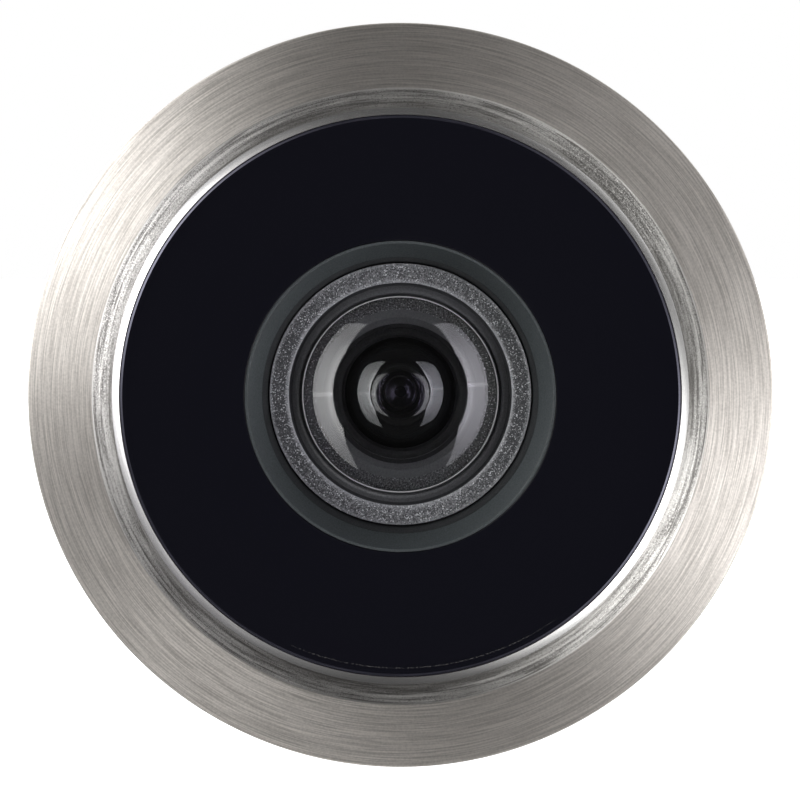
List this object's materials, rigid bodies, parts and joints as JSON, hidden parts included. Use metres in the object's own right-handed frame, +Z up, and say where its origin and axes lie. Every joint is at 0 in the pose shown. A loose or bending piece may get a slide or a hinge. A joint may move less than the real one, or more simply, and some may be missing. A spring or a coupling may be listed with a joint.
{
  "type": "door viewer",
  "caption": "Round wide-angle door viewer: brushed flange with a black face and lens outside, screwed inner barrel, rosette and swinging privacy cover inside.",
  "frame": {"origin": "on the optical axis, in the door's outer face, which is the back of the outer head", "axes": "+Y along the optical axis from the outside to the room side, +Z up, +X to the right when seen from outside"},
  "size_m": [0.036, 0.0537, 0.036],
  "materials": {
    "brushed_nickel": "satin nickel, brushed round the axis",
    "nickel_plated_brass": "turned brass, plain nickel plate",
    "black_gloss": "polished black",
    "tape": "double-sided foam tape",
    "dark_matte": "dark grey-green, matte",
    "textured_hood": "moulded, fine spark texture on the front ring",
    "black_anodised": "black anodised, matte",
    "lens_glass": "polished, thin anti-reflection coat",
    "rubber": "matte black",
    "spring_steel": "plain",
    "felt": "black felt",
    "slip_washer": "natural nylon"
  },
  "bodies": {
    "outer_unit": {"bezel_ring": "brushed_nickel", "fascia_disc": "black_gloss", "fascia_adhesive": "tape", "mouth_ring": "dark_matte", "outer_barrel": "nickel_plated_brass", "door_gasket": "rubber", "lens_hood": "textured_hood", "lens_seal": "rubber", "front_lens": "lens_glass", "front_spacer": "black_anodised", "middle_lens": "lens_glass", "middle_spacer": "black_anodised", "rear_lens": "lens_glass", "rear_stop": "black_anodised", "lens_retaining_ring": "black_anodised"},
    "inner_rosette": {"rosette_gasket": "rubber", "inner_rosette": "brushed_nickel", "cover_stop_pin": "spring_steel", "cover_pivot_rivet": "spring_steel", "cover_washer": "slip_washer", "head_washer": "slip_washer"},
    "inner_barrel": {"inner_barrel": "nickel_plated_brass", "eyepiece_lens": "lens_glass", "eyepiece_ring": "black_anodised"},
    "privacy_cover": {"privacy_cover": "brushed_nickel", "cover_pad": "felt"}
  },
  "joints": [
    {"name": "rosette_slide", "type": "slide", "parent": "outer_unit", "child": "inner_rosette", "axis": [0, 1, 0], "range_m": [-0.009, 0.011]},
    {"name": "barrel_turn", "type": "hinge", "parent": "inner_rosette", "child": "inner_barrel", "pos_m": [0, 0.044, 0], "axis": [0, 1, 0], "range_deg": [-3240, 3960]},
    {"name": "cover_swing", "type": "hinge", "parent": "inner_rosette", "child": "privacy_cover", "pos_m": [0, 0.0496, 0.013], "axis": [0, 1, 0], "range_deg": [-110, 110]}
  ],
  "couplings": [
    {"joint": "rosette_slide", "follows": "barrel_turn", "m_per_rad": 0.00015915}
  ]
}
